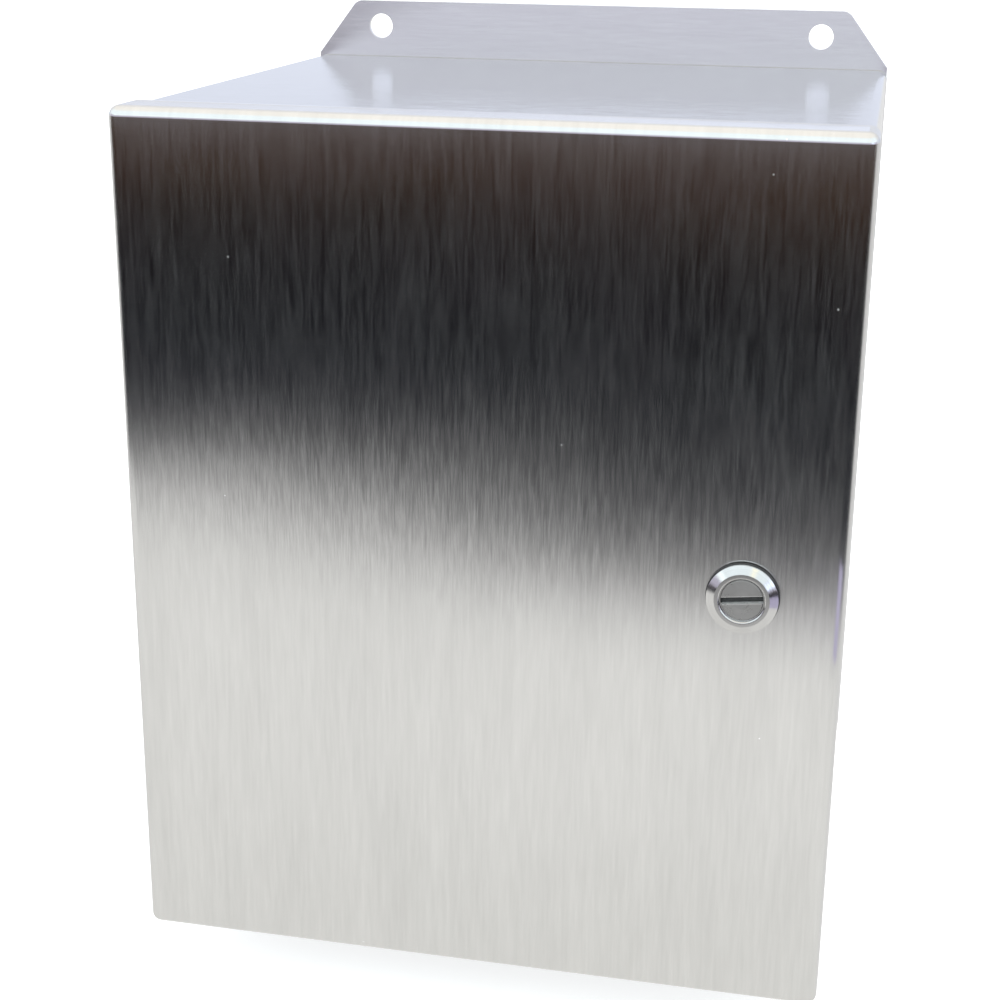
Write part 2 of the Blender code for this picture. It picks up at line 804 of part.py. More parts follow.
def make_mounting_panel():
    half_x = PANEL_WIDTH / 2
    half_z = PANEL_HEIGHT / 2
    front_y = BODY_REAR_Y - COLLAR_STUD_LENGTH - GAP - PANEL_THICKNESS
    rear_y = front_y + PANEL_THICKNESS
    plate = prism(half_x, half_z, front_y, rear_y, PANEL_RADIUS, 5)
    panel = mesh_object("mounting_panel", plate, "white_enamel")
    holes = bmesh.new()
    radius = STUD_RADIUS + 2 * GAP
    for x in (-STUD_X, STUD_X):
        for z in (-STUD_Z, STUD_Z):
            centre = (x, front_y, z)
            cylinder(centre, BACKWARD, radius, 3 * PANEL_THICKNESS, 20, holes)
    cut(panel, mesh_object("panel_holes", holes))
    return panel


def make_panel_fixings():
    """Four collar studs on the back panel, each with a washer and a nut."""
    washer_y = BODY_REAR_Y - COLLAR_STUD_LENGTH - PANEL_THICKNESS - 2 * GAP
    nut_y = washer_y - WASHER_THICKNESS - GAP
    profile = [
        (0, STUD_LENGTH),
        (STUD_RADIUS - STUD_CHAMFER, STUD_LENGTH),
        (STUD_RADIUS, STUD_LENGTH - STUD_CHAMFER),
        (STUD_RADIUS, COLLAR_STUD_LENGTH),
        (COLLAR_STUD_RADIUS, COLLAR_STUD_LENGTH),
        (COLLAR_STUD_RADIUS, 0),
        (0, 0),
    ]
    for row, z in (("top", STUD_Z), ("bottom", -STUD_Z)):
        for side, x in (("left", -STUD_X), ("right", STUD_X)):
            place = f"{row}_{side}"
            base = (x, BODY_REAR_Y, z)
            turned("panel_stud_" + place, profile, base, FORWARD, "turned_stainless", 20)
            washer(
                "panel_washer_" + place,
                (x, washer_y, z),
                FORWARD,
                STUD_RADIUS + GAP,
                PANEL_WASHER_RADIUS,
                WASHER_THICKNESS,
                "zinc_plate",
                20,
            )
            hex_nut(
                "panel_nut_" + place,
                (x, nut_y, z),
                FORWARD,
                PANEL_NUT_FLATS,
                PANEL_NUT_THICKNESS,
                STUD_RADIUS + GAP,
                "zinc_plate",
            )


# Bonding studs


def make_bonding_stud(owner, base, axis):
    """A plain stud for an earth lead, with its washer and nut."""
    axis = Vector(axis)
    base = Vector(base)
    profile = [
        (0, BOND_STUD_LENGTH),
        (BOND_STUD_RADIUS - BOND_STUD_CHAMFER, BOND_STUD_LENGTH),
        (BOND_STUD_RADIUS, BOND_STUD_LENGTH - BOND_STUD_CHAMFER),
        (BOND_STUD_RADIUS, 0),
        (0, 0),
    ]
    stud = turned(owner + "_bonding_stud", profile, base, axis, "turned_stainless", 20)
    ring = washer(
        owner + "_bonding_washer",
        base + axis * BOND_WASHER_HEIGHT,
        axis,
        BOND_STUD_RADIUS + GAP,
        BOND_WASHER_RADIUS,
        WASHER_THICKNESS,
        "zinc_plate",
        20,
    )
    nut = hex_nut(
        owner + "_bonding_nut",
        base + axis * (BOND_WASHER_HEIGHT + WASHER_THICKNESS + GAP),
        axis,
        BOND_NUT_FLATS,
        BOND_NUT_THICKNESS,
        BOND_STUD_RADIUS + GAP,
        "zinc_plate",
    )
    return [stud, ring, nut]


def make_cabinet():
    clear_scene()
    make_collection(PARTS)
    make_collection(CUTTERS).hide_render = True
    door_pivot = make_pivot("door_pivot", (HINGE_X, HINGE_Y, 0))
    latch_pivot = make_pivot("latch_pivot", latch_point(CAM_FRONT_Y))
    attach(latch_pivot, door_pivot)

    make_body_shell()
    make_back_panel()
    make_body_hinge_leaf()
    make_hinge_pin()
    make_mounting_panel()
    make_panel_fixings()
    make_bonding_stud("body", (BODY_BOND_X, BODY_REAR_Y, BODY_BOND_Z), FORWARD)

    door = [make_door_shell(), make_door_gasket(), make_door_hinge_leaf()]
    door += [make_latch_housing(), *make_latch_fixings()]
    door_bond = (DOOR_BOND_X, DOOR_INNER_Y + GAP, DOOR_BOND_Z)
    door += make_bonding_stud("door", door_bond, BACKWARD)
    for piece in door:
        attach(piece, door_pivot)

    latch = [make_latch_insert(), make_latch_o_ring(), make_latch_cam()]
    latch += make_cam_fixings()
    for piece in latch:
        attach(piece, latch_pivot)


make_cabinet()
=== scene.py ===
"""The stainless steel switchboard cabinet as a finished visual model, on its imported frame.

Most CAD nodes keep their shape: modifiers weld and round them, and each gets a procedural
finish. Modelled pieces replace the plain rubber ones, which are the door's gasket, the ring
under the bezel and the ring on the shaft. Added pieces are the threads of the studs and the
barrel, the weld where the walls meet the back sheet, and a liner between the bezel and its
insert. The stage is a pale floor under soft light, with a card and a few bright panels that
only reflections see, as a studio uses to grade the reflection in polished metal.

Units are metres. +X is right, +Y is towards the wall and +Z is up.
"""

import math  # noqa: E402

import bmesh  # noqa: E402
import bpy  # noqa: E402
from mathutils import Matrix, Vector  # noqa: E402


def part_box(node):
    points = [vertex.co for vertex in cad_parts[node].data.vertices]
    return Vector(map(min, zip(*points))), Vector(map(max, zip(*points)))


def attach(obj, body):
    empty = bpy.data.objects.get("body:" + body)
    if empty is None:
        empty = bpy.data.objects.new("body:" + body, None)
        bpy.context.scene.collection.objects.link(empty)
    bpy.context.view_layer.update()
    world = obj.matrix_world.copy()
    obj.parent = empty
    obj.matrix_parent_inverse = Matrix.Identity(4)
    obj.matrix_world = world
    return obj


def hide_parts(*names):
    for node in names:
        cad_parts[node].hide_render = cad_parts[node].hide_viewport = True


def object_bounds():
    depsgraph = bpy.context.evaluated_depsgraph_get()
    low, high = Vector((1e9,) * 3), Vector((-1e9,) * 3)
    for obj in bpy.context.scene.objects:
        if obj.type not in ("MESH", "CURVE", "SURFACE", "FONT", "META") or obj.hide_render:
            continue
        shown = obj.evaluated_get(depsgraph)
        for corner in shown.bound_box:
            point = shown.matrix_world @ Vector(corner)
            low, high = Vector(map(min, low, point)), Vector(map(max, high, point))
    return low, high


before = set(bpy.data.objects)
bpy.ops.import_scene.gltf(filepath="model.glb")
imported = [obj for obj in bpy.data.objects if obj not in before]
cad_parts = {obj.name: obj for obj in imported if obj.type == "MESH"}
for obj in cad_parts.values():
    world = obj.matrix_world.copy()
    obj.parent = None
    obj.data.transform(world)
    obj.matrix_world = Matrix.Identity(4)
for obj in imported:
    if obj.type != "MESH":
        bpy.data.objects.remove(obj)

MM = 0.001
CAD_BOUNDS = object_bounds()

# Camera: place in metres, lens in millimetres, turns in radians
CAMERA_PLACE = (0.105678, -0.658613, 0.180051)
CAMERA_LENS = 65.44
CAMERA_PITCH = 0.3196
CAMERA_YAW = 0.2078
CAMERA_ROLL = 0.0116
CAMERA_CLIP = 0.01

# The card that reflections see. A point's reach is its distance from the door's face at
# CARD_CENTRE_X, with X squashed, plus its height over the floor, plus a shift that goes from
# the first to the second CARD_LEAN between the two CARD_LEAN_X. Each tone is (reach, colour).
CARD_CENTRE_X = 0.05
CARD_SQUASH = 0.8
CARD_LEAN_X = (-0.40, 0.04)
CARD_LEAN = (-0.2, 0.065)
CARD_RADIUS = 3.8
CARD_HEIGHT = 0.9
CARD_BEND = 0.5
CARD_BEND_STEPS = 8
CARD_HALF_TURN = 88  # degrees
CARD_STEPS = 48
CARD_BEHIND = 0.02  # how far behind the door's face its centre stands
CARD_TONES = [
    (0.0, (0.95, 0.95, 0.92)),
    (0.12, (0.97, 0.97, 0.945)),
    (0.22, (1.03, 1.03, 1.01)),
    (0.31, (1.03, 1.03, 1.01)),
    (0.36, (1.0, 1.0, 0.985)),
    (0.41, (0.72, 0.72, 0.72)),
    (0.47, (0.225, 0.225, 0.23)),
    (0.55, (0.058, 0.059, 0.067)),
    (0.645, (0.020, 0.021, 0.026)),
    (0.76, (0.018, 0.019, 0.023)),
    (0.90, (0.012, 0.012, 0.015)),
    (1.10, (0.010, 0.009, 0.011)),
    (1.40, (0.012, 0.007, 0.005)),
    (1.60, (0.030, 0.011, 0.003)),
    (1.90, (0.046, 0.019, 0.004)),
    (2.30, (0.09, 0.065, 0.045)),
    (2.80, (0.30, 0.29, 0.32)),
    (3.30, (0.72, 0.69, 0.84)),
    (4.20, (0.72, 0.69, 0.84)),
    (4.75, (0.90, 0.95, 1.05)),
]

# Bright panels that reflections see: turn and lift in degrees seen from the latch, distance
# from it, width, height and colour
WINDOWS = {
    "window_left": (-38, 14, 2.0, 0.34, 0.30, (1.9, 2.1, 2.1)),
    "window_right": (44, 8, 2.0, 0.5, 0.45, (2.0, 2.3, 2.8)),
    "warm_lamp": (17, 31, 2.0, 0.30, 0.34, (1.9, 1.8, 1.3)),
    "side_wall": (50, -18, 0.1, 0.053, 0.03, (0.65, 0.61, 0.84)),
}

# Sky and light
FRONT_SKY = (1.35, 1.50, 1.56)
OVERHEAD = (1.40, 1.36, 1.28)
BACK_HIGH = (1.10, 1.10, 1.11)
BACK_LOW = (0.93, 0.98, 1.12)
UNDER = (0.95, 0.95, 0.95)

# Where the sky's parts blend, along Y or Z of the way looked
BLEND_BEHIND = (-0.15, 0.25)
BLEND_BACK = (0.20, 0.45)
BLEND_OVERHEAD = (0.70, 0.90)
BLEND_UNDER = (-0.03, 0.0)

# Softbox and floor
LIGHT_PLACE = (0.2, -0.3, 1.6)
LIGHT_TARGET = (0, -0.1, 0)
LIGHT_SIDE = 1.8
LIGHT_POWER = 12
FLOOR_HALF = 20.0
FLOOR_GAP = 0.2 * MM
FLOOR_GLOW = 0.55

# Brushed grain: cycles per metre across it, off the sheet and along it
HAIR_CYCLES = (3200, 1, 130)
LINE_CYCLES = (900, 1, 60)
BAND_CYCLES = (110, 1, 16)
CLOUD_CYCLES = (18, 1, 14)

# What each scale of the grain adds to the sheet's tone, roughness, dull film and tipped normal
HAIR_TONE = 0.08
LINE_TONE = 0.13
BAND_TONE = 0.12
CLOUD_TONE = 0.07
LINE_ROUGHNESS = 0.05
CLOUD_ROUGHNESS = 0.05
FILM = 0.012
HAIR_FILM = 0.07
LINE_FILM = 0.035
HAIR_TIP_ACROSS = 0.17
HAIR_TIP_ALONG = 0.0025
LINE_TIP_ALONG = 0.0015
BAND_TIP_ALONG = 0.002
SPECK_CELLS = 75.0
SPECK_RADIUS = 0.016  # of a cell
SPECK_FILM = 0.45
SPECK_COLOUR = (0.85, 0.85, 0.85, 1)
NUDGE = 0.001  # keeps a direction from having no length
FRONTWARD = (0, -1, 0)

# Turned finish, in cycles per metre, with what each scale adds
RING_CYCLES = (9000, 9000, 1)
WIDE_CYCLES = (1500, 1500, 1)
SMEAR_CYCLES = (260, 260, 260)
RING_TONE = 0.22
SMEAR_TONE = 0.16
SMEAR_ROUGHNESS = 0.10
RING_TIP = 0.16
WIDE_TIP = 0.05

# The insert's slot, as CAD cuts it, with a painted highlight along its edges and painted shade with
# grime on its floor
SLOT_TILT = math.radians(-6.5)
SLOT_WIDTH = 2.0 * MM
SLOT_DEPTH = 2.2 * MM
# Painted highlight along the slot's edges: where it starts, where it is full, and how much it
# brightens the tone
EDGE_HIGHLIGHT_START = 0.30 * MM
EDGE_HIGHLIGHT_FULL = 0.08 * MM
EDGE_HIGHLIGHT_TONE = 1.7
WALL_START = 0.1 * MM
WALL_FULL = 0.3 * MM
WALL_MARGIN = 0.05 * MM
WALL_METAL = 0.35
# Painted shade, with grime, on the slot's floor: where it starts, where it is full, and how much it
# darkens the tone
SHADE_AND_GRIME_START = 0.4 * MM
SHADE_AND_GRIME_FULL = 0.05 * MM
SHADE_AND_GRIME_TONE = 0.06

# Refining of the CAD nodes
WELD_REACH = 0.002 * MM
FLAT_ANGLE = math.radians(0.3)
BEVEL_ANGLE = math.radians(40)
BEVEL_SEGMENTS = 2
SMOOTH_ANGLE = math.radians(24)
FACE_WEIGHT = 100  # large faces rule the normals beside them
PIECE_SMOOTH_ANGLE = math.radians(40)

# Rounded edges of the CAD nodes that get them
EDGES = {
    "back_panel": 0.15 * MM,
    "latch_insert": 0.22 * MM,
    "latch_housing": 0.08 * MM,
    "mounting_panel": 0.25 * MM,
    "latch_cam": 0.3 * MM,
    "body_hinge_leaf": 0.2 * MM,
    "door_hinge_leaf": 0.2 * MM,
}

# Sizes of the added pieces, and those of CAD's that they follow
THREAD_STEPS = 32
THREAD_BITE = 0.05 * MM
THREAD_RISE = 0.26 * MM
THREAD_LEAST = 0.001 * MM
THREAD_END = 1.1 * MM
THREAD_END_ROOT = 0.10  # half widths of the thread, of its pitch
THREAD_ROOT = 0.32
THREAD_CREST = 0.08
STUD_RADIUS = 3.0 * MM
STUD_PITCH = 0.8 * MM
COLLAR_LENGTH = 9.7 * MM
BARREL_RADIUS = 8.0 * MM
BARREL_PITCH = 1.0 * MM
RING_STEPS = 96
CORNER_STEPS = 10
O_RING_SIDES = 16
SEAL_WIDTH = 1.8 * MM
SEAL_STEPS = 6
GASKET_WIDTH = 8.0 * MM
GASKET_CORNER = 0.6 * MM
GASKET_FOOT = 0.25 * MM
GASKET_STEPS = 16
GASKET_DENT = 0.45 * MM
GASKET_DENT_WIDTH = 0.28  # of the half width
GASKET_SHOULDER = 0.12  # of the height
BODY_RADIUS = 3.0 * MM
WELD_RADIUS = 0.4 * MM
WELD_SINK = 0.6  # of its radius, into the corner
WELD_SIDES = 12
LINER_GAP = 0.04 * MM
LINER_WALL = 0.27 * MM
LINER_SINK = 0.4 * MM
LINER_DEPTH = 2.0 * MM


# Node trees


def add_node(tree, kind, inputs=None, **settings):
    """Adds a node. Inputs are {socket name or number: value or output socket}."""
    node = tree.nodes.new(kind)
    for name, value in settings.items():
        setattr(node, name, value)
    for key, value in (inputs or {}).items():
        socket = node.inputs[key]
        if isinstance(value, bpy.types.NodeSocket):
            tree.links.new(value, socket)
        else:
            socket.default_value = value
    return node


def maths(tree, operation, *values):
    return add_node(tree, "ShaderNodeMath", dict(enumerate(values)), operation=operation).outputs[0]


def vector_maths(tree, operation, *values):
    inputs = dict(enumerate(values))
    node = add_node(tree, "ShaderNodeVectorMath", inputs, operation=operation)
    return node.outputs["Value" if operation in ("LENGTH", "DOT_PRODUCT") else "Vector"]


def scaled(tree, vector, factor):
    node = add_node(tree, "ShaderNodeVectorMath", {0: vector, "Scale": factor}, operation="SCALE")
    return node.outputs[0]


def mixed(tree, factor, first, second):
    """A colour between two others."""
    inputs = {0: factor, 6: first, 7: second}
    return add_node(tree, "ShaderNodeMix", inputs, data_type="RGBA").outputs[2]


def blended(tree, factor, first, second):
    """A number between two others."""
    return add_node(tree, "ShaderNodeMix", {0: factor, 2: first, 3: second}).outputs[0]


def combined(tree, x, y, z):
    return add_node(tree, "ShaderNodeCombineXYZ", {0: x, 1: y, 2: z}).outputs[0]


def separated(tree, vector):
    return add_node(tree, "ShaderNodeSeparateXYZ", {0: vector}).outputs


def remap(tree, value, low, high):
    """Takes 0..1 to low..high."""
    inputs = {"Value": value, "To Min": low, "To Max": high}
    return add_node(tree, "ShaderNodeMapRange", inputs).outputs[0]


def between(tree, value, low, high):
    """Takes low..high to 0..1, smoothly."""
    inputs = {"Value": value, "From Min": low, "From Max": high}
    kind = {"interpolation_type": "SMOOTHSTEP"}
    return add_node(tree, "ShaderNodeMapRange", inputs, **kind).outputs[0]


def tinted(tree, colour, tone):
    """A colour times a grey level."""
    grey = add_node(tree, "ShaderNodeCombineColor", {0: tone, 1: tone, 2: tone}).outputs[0]
    inputs = {0: 1.0, 6: (*colour, 1), 7: grey}
    mix = add_node(tree, "ShaderNodeMix", inputs, data_type="RGBA", blend_type="MULTIPLY")
    return mix.outputs[2]


def object_point(tree):
    return add_node(tree, "ShaderNodeTexCoord").outputs["Object"]


def noise(tree, point, scale, detail, roughness, seed):
    """Noise over a point that is first stretched by scale, in cycles per metre."""
    shift = (seed, 1.7 * seed, 2.3 * seed)
    place = vector_maths(tree, "MULTIPLY_ADD", point, scale, shift)
    inputs = {"Vector": place, "Scale": 1.0, "Detail": detail, "Roughness": roughness}
    return add_node(tree, "ShaderNodeTexNoise", inputs).outputs["Fac"]


def turned_to_world(tree, vector):
    settings = {"vector_type": "VECTOR", "convert_from": "OBJECT", "convert_to": "WORLD"}
    return add_node(tree, "ShaderNodeVectorTransform", {"Vector": vector}, **settings).outputs[0]


def surface_normal(tree):
    return add_node(tree, "ShaderNodeNewGeometry").outputs["Normal"]


def object_normal(tree):
    normal = surface_normal(tree)
    settings = {"vector_type": "NORMAL", "convert_from": "WORLD", "convert_to": "OBJECT"}
    return add_node(tree, "ShaderNodeVectorTransform", {"Vector": normal}, **settings).outputs[0]


def new_material(name):
    material = bpy.data.materials.new(name)
    material.use_nodes = True
    return material, material.node_tree, material.node_tree.nodes["Principled BSDF"]


def give(material, *names):
    """Puts a material on CAD nodes, in place of what they had."""
    for name in names:
        mesh = bpy.data.objects[name].data
        mesh.materials.clear()
        mesh.materials.append(material)


# Finishes


def grain_lay(tree, point, grain):
    """The way across a brushed grain, and a point measured (across, off the sheet, along)."""
    parts = separated(tree, point)
    if grain == "upright":
        normal = object_normal(tree)
        across = vector_maths(tree, "CROSS_PRODUCT", normal, (0, 0, 1))
        face_x = maths(tree, "ABSOLUTE", vector_maths(tree, "DOT_PRODUCT", normal, (1, 0, 0)))
        on_side = between(tree, face_x, 0.5, 0.9)
        wide = blended(tree, on_side, parts["X"], parts["Y"])
        depth = blended(tree, on_side, parts["Y"], parts["X"])
        lay = combined(tree, wide, 0.0, maths(tree, "SUBTRACT", parts["Z"], depth))
        return vector_maths(tree, "ADD", across, (NUDGE, 0, 0)), lay
    if grain == "around":
        lay = combined(tree, parts["Y"], 0.0, maths(tree, "ADD", parts["X"], parts["Z"]))
        return vector_maths(tree, "ADD", (0, 1, 0), (NUDGE, 0, NUDGE)), lay
    lay = combined(tree, parts["Z"], 0.0, parts["X"])
    return vector_maths(tree, "ADD", (0, 0, 1), (NUDGE, 0, 0)), lay


def brushed_steel(name, grain, colour, roughness, anisotropy, strength=1.0, seed=0.0):
    """Stainless sheet with a brushed grain.

    grain is "upright" for a sheet brushed along Z and folded back over its top and bottom,
    "around" for one brushed round the Y axis, or "level" for one brushed along X.
    """
    material, tree, shader = new_material(name)
    point = object_point(tree)
    across, lay = grain_lay(tree, point, grain)
    hair = noise(tree, lay, HAIR_CYCLES, 3.0, 0.6, seed + 1)
    line = noise(tree, lay, LINE_CYCLES, 2.0, 0.55, seed + 2)
    band = noise(tree, lay, BAND_CYCLES, 2.0, 0.5, seed + 3)
    cloud = noise(tree, lay, CLOUD_CYCLES, 2.0, 0.5, seed + 4)
    hair, line, band, cloud = (
        maths(tree, "SUBTRACT", value, 0.5) for value in (hair, line, band, cloud)
    )

    # Brightness varies by the streak
    tone = maths(tree, "MULTIPLY_ADD", hair, HAIR_TONE * strength, 1.0)
    tone = maths(tree, "MULTIPLY_ADD", line, LINE_TONE * strength, tone)
    tone = maths(tree, "MULTIPLY_ADD", band, BAND_TONE * strength, tone)
    tone = maths(tree, "MULTIPLY_ADD", cloud, CLOUD_TONE, tone)
    base = tinted(tree, colour, tone)
    rough = maths(tree, "MULTIPLY_ADD", line, LINE_ROUGHNESS * strength, roughness)
    rough = maths(tree, "MULTIPLY_ADD", cloud, CLOUD_ROUGHNESS, rough)

    # A thin dull film lies in the grooves, and a few specks of dust on the sheet
    film = maths(tree, "MULTIPLY_ADD", hair, HAIR_FILM * strength, FILM)
    film = maths(tree, "MULTIPLY_ADD", line, LINE_FILM * strength, film)
    film = maths(tree, "MAXIMUM", film, 0.0)
    cells = add_node(tree, "ShaderNodeTexVoronoi", {"Vector": point, "Scale": SPECK_CELLS})
    speck = maths(tree, "LESS_THAN", cells.outputs["Distance"], SPECK_RADIUS)
    film = maths(tree, "MULTIPLY_ADD", speck, SPECK_FILM, film)
    base = mixed(tree, speck, base, SPECK_COLOUR)
    tree.links.new(base, shader.inputs["Base Color"])
    tree.links.new(rough, shader.inputs["Roughness"])
    tree.links.new(maths(tree, "SUBTRACT", 1.0, film), shader.inputs["Metallic"])

    # Each hair-thin groove tips the surface, mostly across the grain and a little along it
    world_across = turned_to_world(tree, across)
    flat = surface_normal(tree)
    world_along = vector_maths(tree, "CROSS_PRODUCT", flat, world_across)
    tip_across = maths(tree, "MULTIPLY", hair, HAIR_TIP_ACROSS * strength)
    tip_along = maths(tree, "MULTIPLY", hair, HAIR_TIP_ALONG * strength)
    tip_along = maths(tree, "MULTIPLY_ADD", line, LINE_TIP_ALONG * strength, tip_along)
    tip_along = maths(tree, "MULTIPLY_ADD", band, BAND_TIP_ALONG * strength, tip_along)
    tipped = vector_maths(tree, "ADD", flat, scaled(tree, world_across, tip_across))
    tipped = vector_maths(tree, "ADD", tipped, scaled(tree, world_along, tip_along))
    tipped = vector_maths(tree, "NORMALIZE", tipped)
    tree.links.new(tipped, shader.inputs["Normal"])
    tree.links.new(world_across, shader.inputs["Tangent"])
    shader.inputs["Anisotropic"].default_value = anisotropy
    return material


def turned_steel(name, axis_place, axis, colour, roughness, anisotropy, seed=0.0, slot=None):
    """Lathe-turned stainless steel with fine rings about an axis.

    A slot, as (the way across it, half its width, its depth), has its edges painted bright
    as a highlight, dull walls, and its floor painted dark as shade with grime. axis_place is
    then on the face that it is cut in.
    """
    material, tree, shader = new_material(name)
    point = vector_maths(tree, "SUBTRACT", object_point(tree), axis_place)
    depth = scaled(tree, axis, vector_maths(tree, "DOT_PRODUCT", point, axis))
    outward = vector_maths(tree, "SUBTRACT", point, depth)
    radius = vector_maths(tree, "LENGTH", outward)
    height = vector_maths(tree, "DOT_PRODUCT", point, axis)
    lay = combined(tree, radius, height, 0.0)
    ring = noise(tree, lay, RING_CYCLES, 3.0, 0.6, seed + 1)
    wide = noise(tree, lay, WIDE_CYCLES, 2.0, 0.5, seed + 2)
    smear = noise(tree, point, SMEAR_CYCLES, 3.0, 0.6, seed + 3)
    ring, wide, smear = (maths(tree, "SUBTRACT", value, 0.5) for value in (ring, wide, smear))
    tone = maths(tree, "MULTIPLY_ADD", ring, RING_TONE, 1.0)
    tone = maths(tree, "MULTIPLY_ADD", smear, SMEAR_TONE, tone)
    if slot is not None:
        across, half_width, slot_depth = slot
        off = maths(tree, "ABSOLUTE", vector_maths(tree, "DOT_PRODUCT", point, across))
        # Painted highlight: the colour is brightened along the slot's edges
        painted_edge_highlight = between(tree, off, half_width + EDGE_HIGHLIGHT_START, half_width + EDGE_HIGHLIGHT_FULL)
        sunk = maths(tree, "MULTIPLY", height, -1.0)
        wall = between(tree, sunk, WALL_START, WALL_FULL)
        in_slot = maths(tree, "LESS_THAN", off, half_width + WALL_MARGIN)
        wall = maths(tree, "MULTIPLY", wall, in_slot)
        # Painted shade with grime: the colour darkens with depth towards the slot's floor
        painted_shade_and_grime = between(tree, sunk, slot_depth - SHADE_AND_GRIME_START, slot_depth - SHADE_AND_GRIME_FULL)
        painted_shade_and_grime = maths(tree, "MULTIPLY", painted_shade_and_grime, wall)
        # The painted highlight brightens the slot's edges and the painted shade with grime darkens
        # its floor
        tone = maths(tree, "MULTIPLY", tone, remap(tree, painted_edge_highlight, 1.0, EDGE_HIGHLIGHT_TONE))
        tone = maths(tree, "MULTIPLY", tone, remap(tree, painted_shade_and_grime, 1.0, SHADE_AND_GRIME_TONE))
        tree.links.new(remap(tree, wall, 1.0, WALL_METAL), shader.inputs["Metallic"])
    base = tinted(tree, colour, tone)
    tree.links.new(base, shader.inputs["Base Color"])
    rough = maths(tree, "MULTIPLY_ADD", smear, SMEAR_ROUGHNESS, roughness)
    tree.links.new(rough, shader.inputs["Roughness"])
    flat = surface_normal(tree)
    world_out = turned_to_world(tree, vector_maths(tree, "NORMALIZE", outward))
    tip = maths(tree, "MULTIPLY", ring, RING_TIP)
    tip = maths(tree, "MULTIPLY_ADD", wide, WIDE_TIP, tip)
    tipped = vector_maths(tree, "ADD", flat, scaled(tree, world_out, tip))
    tipped = vector_maths(tree, "NORMALIZE", tipped)
    tree.links.new(tipped, shader.inputs["Normal"])
    tree.links.new(world_out, shader.inputs["Tangent"])
    if slot is None:
        shader.inputs["Metallic"].default_value = 1.0
    shader.inputs["Anisotropic"].default_value = anisotropy
    return material


def bumped(tree, shader, height, distance):
    inputs = {"Height": height, "Distance": distance, "Strength": 1.0}
    bump = add_node(tree, "ShaderNodeBump", inputs)
    tree.links.new(bump.outputs[0], shader.inputs["Normal"])


def zinc_plate(name):
    """Bright zinc with the cloudy blue and straw tints of its passivation."""
    material, tree, shader = new_material(name)
    point = object_point(tree)
    cloud = noise(tree, point, (420, 420, 420), 3.0, 0.6, 3.0)
    grit = noise(tree, point, (5200, 5200, 5200), 2.0, 0.5, 5.0)
    patch = between(tree, cloud, 0.35, 0.65)
    base = mixed(tree, patch, (0.60, 0.63, 0.68, 1), (0.72, 0.69, 0.60, 1))
    tree.links.new(base, shader.inputs["Base Color"])
    tree.links.new(remap(tree, cloud, 0.22, 0.46), shader.inputs["Roughness"])
    bumped(tree, shader, grit, 0.02 * MM)
    shader.inputs["Metallic"].default_value = 1.0
    return material


def white_enamel(name):
    """White powder coat with its orange peel."""
    material, tree, shader = new_material(name)
    point = object_point(tree)
    peel = noise(tree, point, (620, 620, 620), 2.0, 0.5, 7.0)
    fine = noise(tree, point, (2600, 2600, 2600), 2.0, 0.5, 8.0)
    cloud = noise(tree, point, (14, 14, 14), 3.0, 0.6, 9.0)
    base = mixed(tree, cloud, (0.80, 0.80, 0.77, 1), (0.86, 0.86, 0.83, 1))
    tree.links.new(base, shader.inputs["Base Color"])
    tree.links.new(remap(tree, fine, 0.30, 0.42), shader.inputs["Roughness"])
    height = maths(tree, "MULTIPLY_ADD", fine, 0.15, peel)
    bumped(tree, shader, height, 0.06 * MM)
    return material


def black_rubber(name, shine, dull):
    """Black rubber with a moulded skin. shine and dull are its clean and its dusty roughness."""
    material, tree, shader = new_material(name)
    point = object_point(tree)
    skin = noise(tree, point, (3000, 3000, 3000), 3.0, 0.6, 11.0)
    dust = noise(tree, point, (160, 160, 160), 4.0, 0.6, 12.0)
    dusty = between(tree, dust, 0.45, 0.8)
    base = mixed(tree, dusty, (0.018, 0.018, 0.019, 1), (0.05, 0.05, 0.048, 1))
    tree.links.new(base, shader.inputs["Base Color"])
    tree.links.new(remap(tree, dust, shine, dull), shader.inputs["Roughness"])
    bumped(tree, shader, skin, 0.05 * MM)
    return material


# Geometry refinements of the CAD nodes


def smooth_group():
    """A geometry node tree that smooths a mesh and keeps its corners sharp."""
    tree = bpy.data.node_groups.new("smooth_by_angle", "GeometryNodeTree")
    tree.interface.new_socket("Geometry", in_out="INPUT", socket_type="NodeSocketGeometry")
    tree.interface.new_socket("Geometry", in_out="OUTPUT", socket_type="NodeSocketGeometry")
    start = tree.nodes.new("NodeGroupInput")
    end = tree.nodes.new("NodeGroupOutput")
    angle = tree.nodes.new("GeometryNodeInputMeshEdgeAngle")
    sharp = add_node(tree, "FunctionNodeCompare", {0: angle.outputs[0], 1: SMOOTH_ANGLE})
    mesh = {"Mesh": start.outputs[0]}
    clear = add_node(tree, "GeometryNodeSetMeshNormal", mesh, mode="SHARPNESS")
    clear.inputs["Remove Custom"].default_value = True
    clear.inputs["Face Sharpness"].default_value = False
    tree.links.new(sharp.outputs[0], clear.inputs["Edge Sharpness"])
    tree.links.new(clear.outputs[0], end.inputs[0])
    return tree


